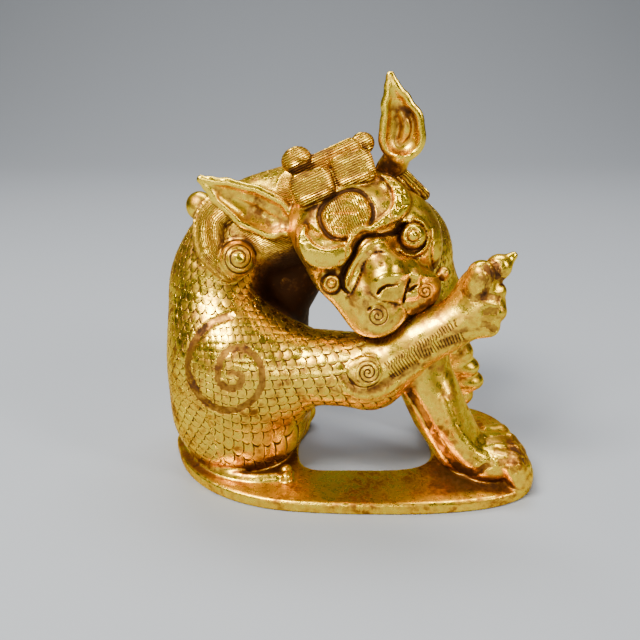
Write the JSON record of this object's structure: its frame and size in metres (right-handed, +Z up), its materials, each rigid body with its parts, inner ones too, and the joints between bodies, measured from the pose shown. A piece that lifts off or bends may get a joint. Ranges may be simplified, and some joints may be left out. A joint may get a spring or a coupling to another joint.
{
  "type": "qilin figurine",
  "caption": "Small gilt bronze guardian beast, seated on a thin plate and turning its head to lick a raised hind paw.",
  "frame": {"origin": "middle of the underside of the plate, on the surface it stands on", "axes": "+Z up, +X along the plate from the rump to the forepaws, +Y away from the raised hind leg and the face"},
  "size_m": [0.1, 0.053, 0.1043],
  "materials": {
    "gilt_bronze": "polished gilding with red-brown patina in the recesses"
  },
  "bodies": {
    "root": {"figure": "gilt_bronze"}
  },
  "joints": []
}
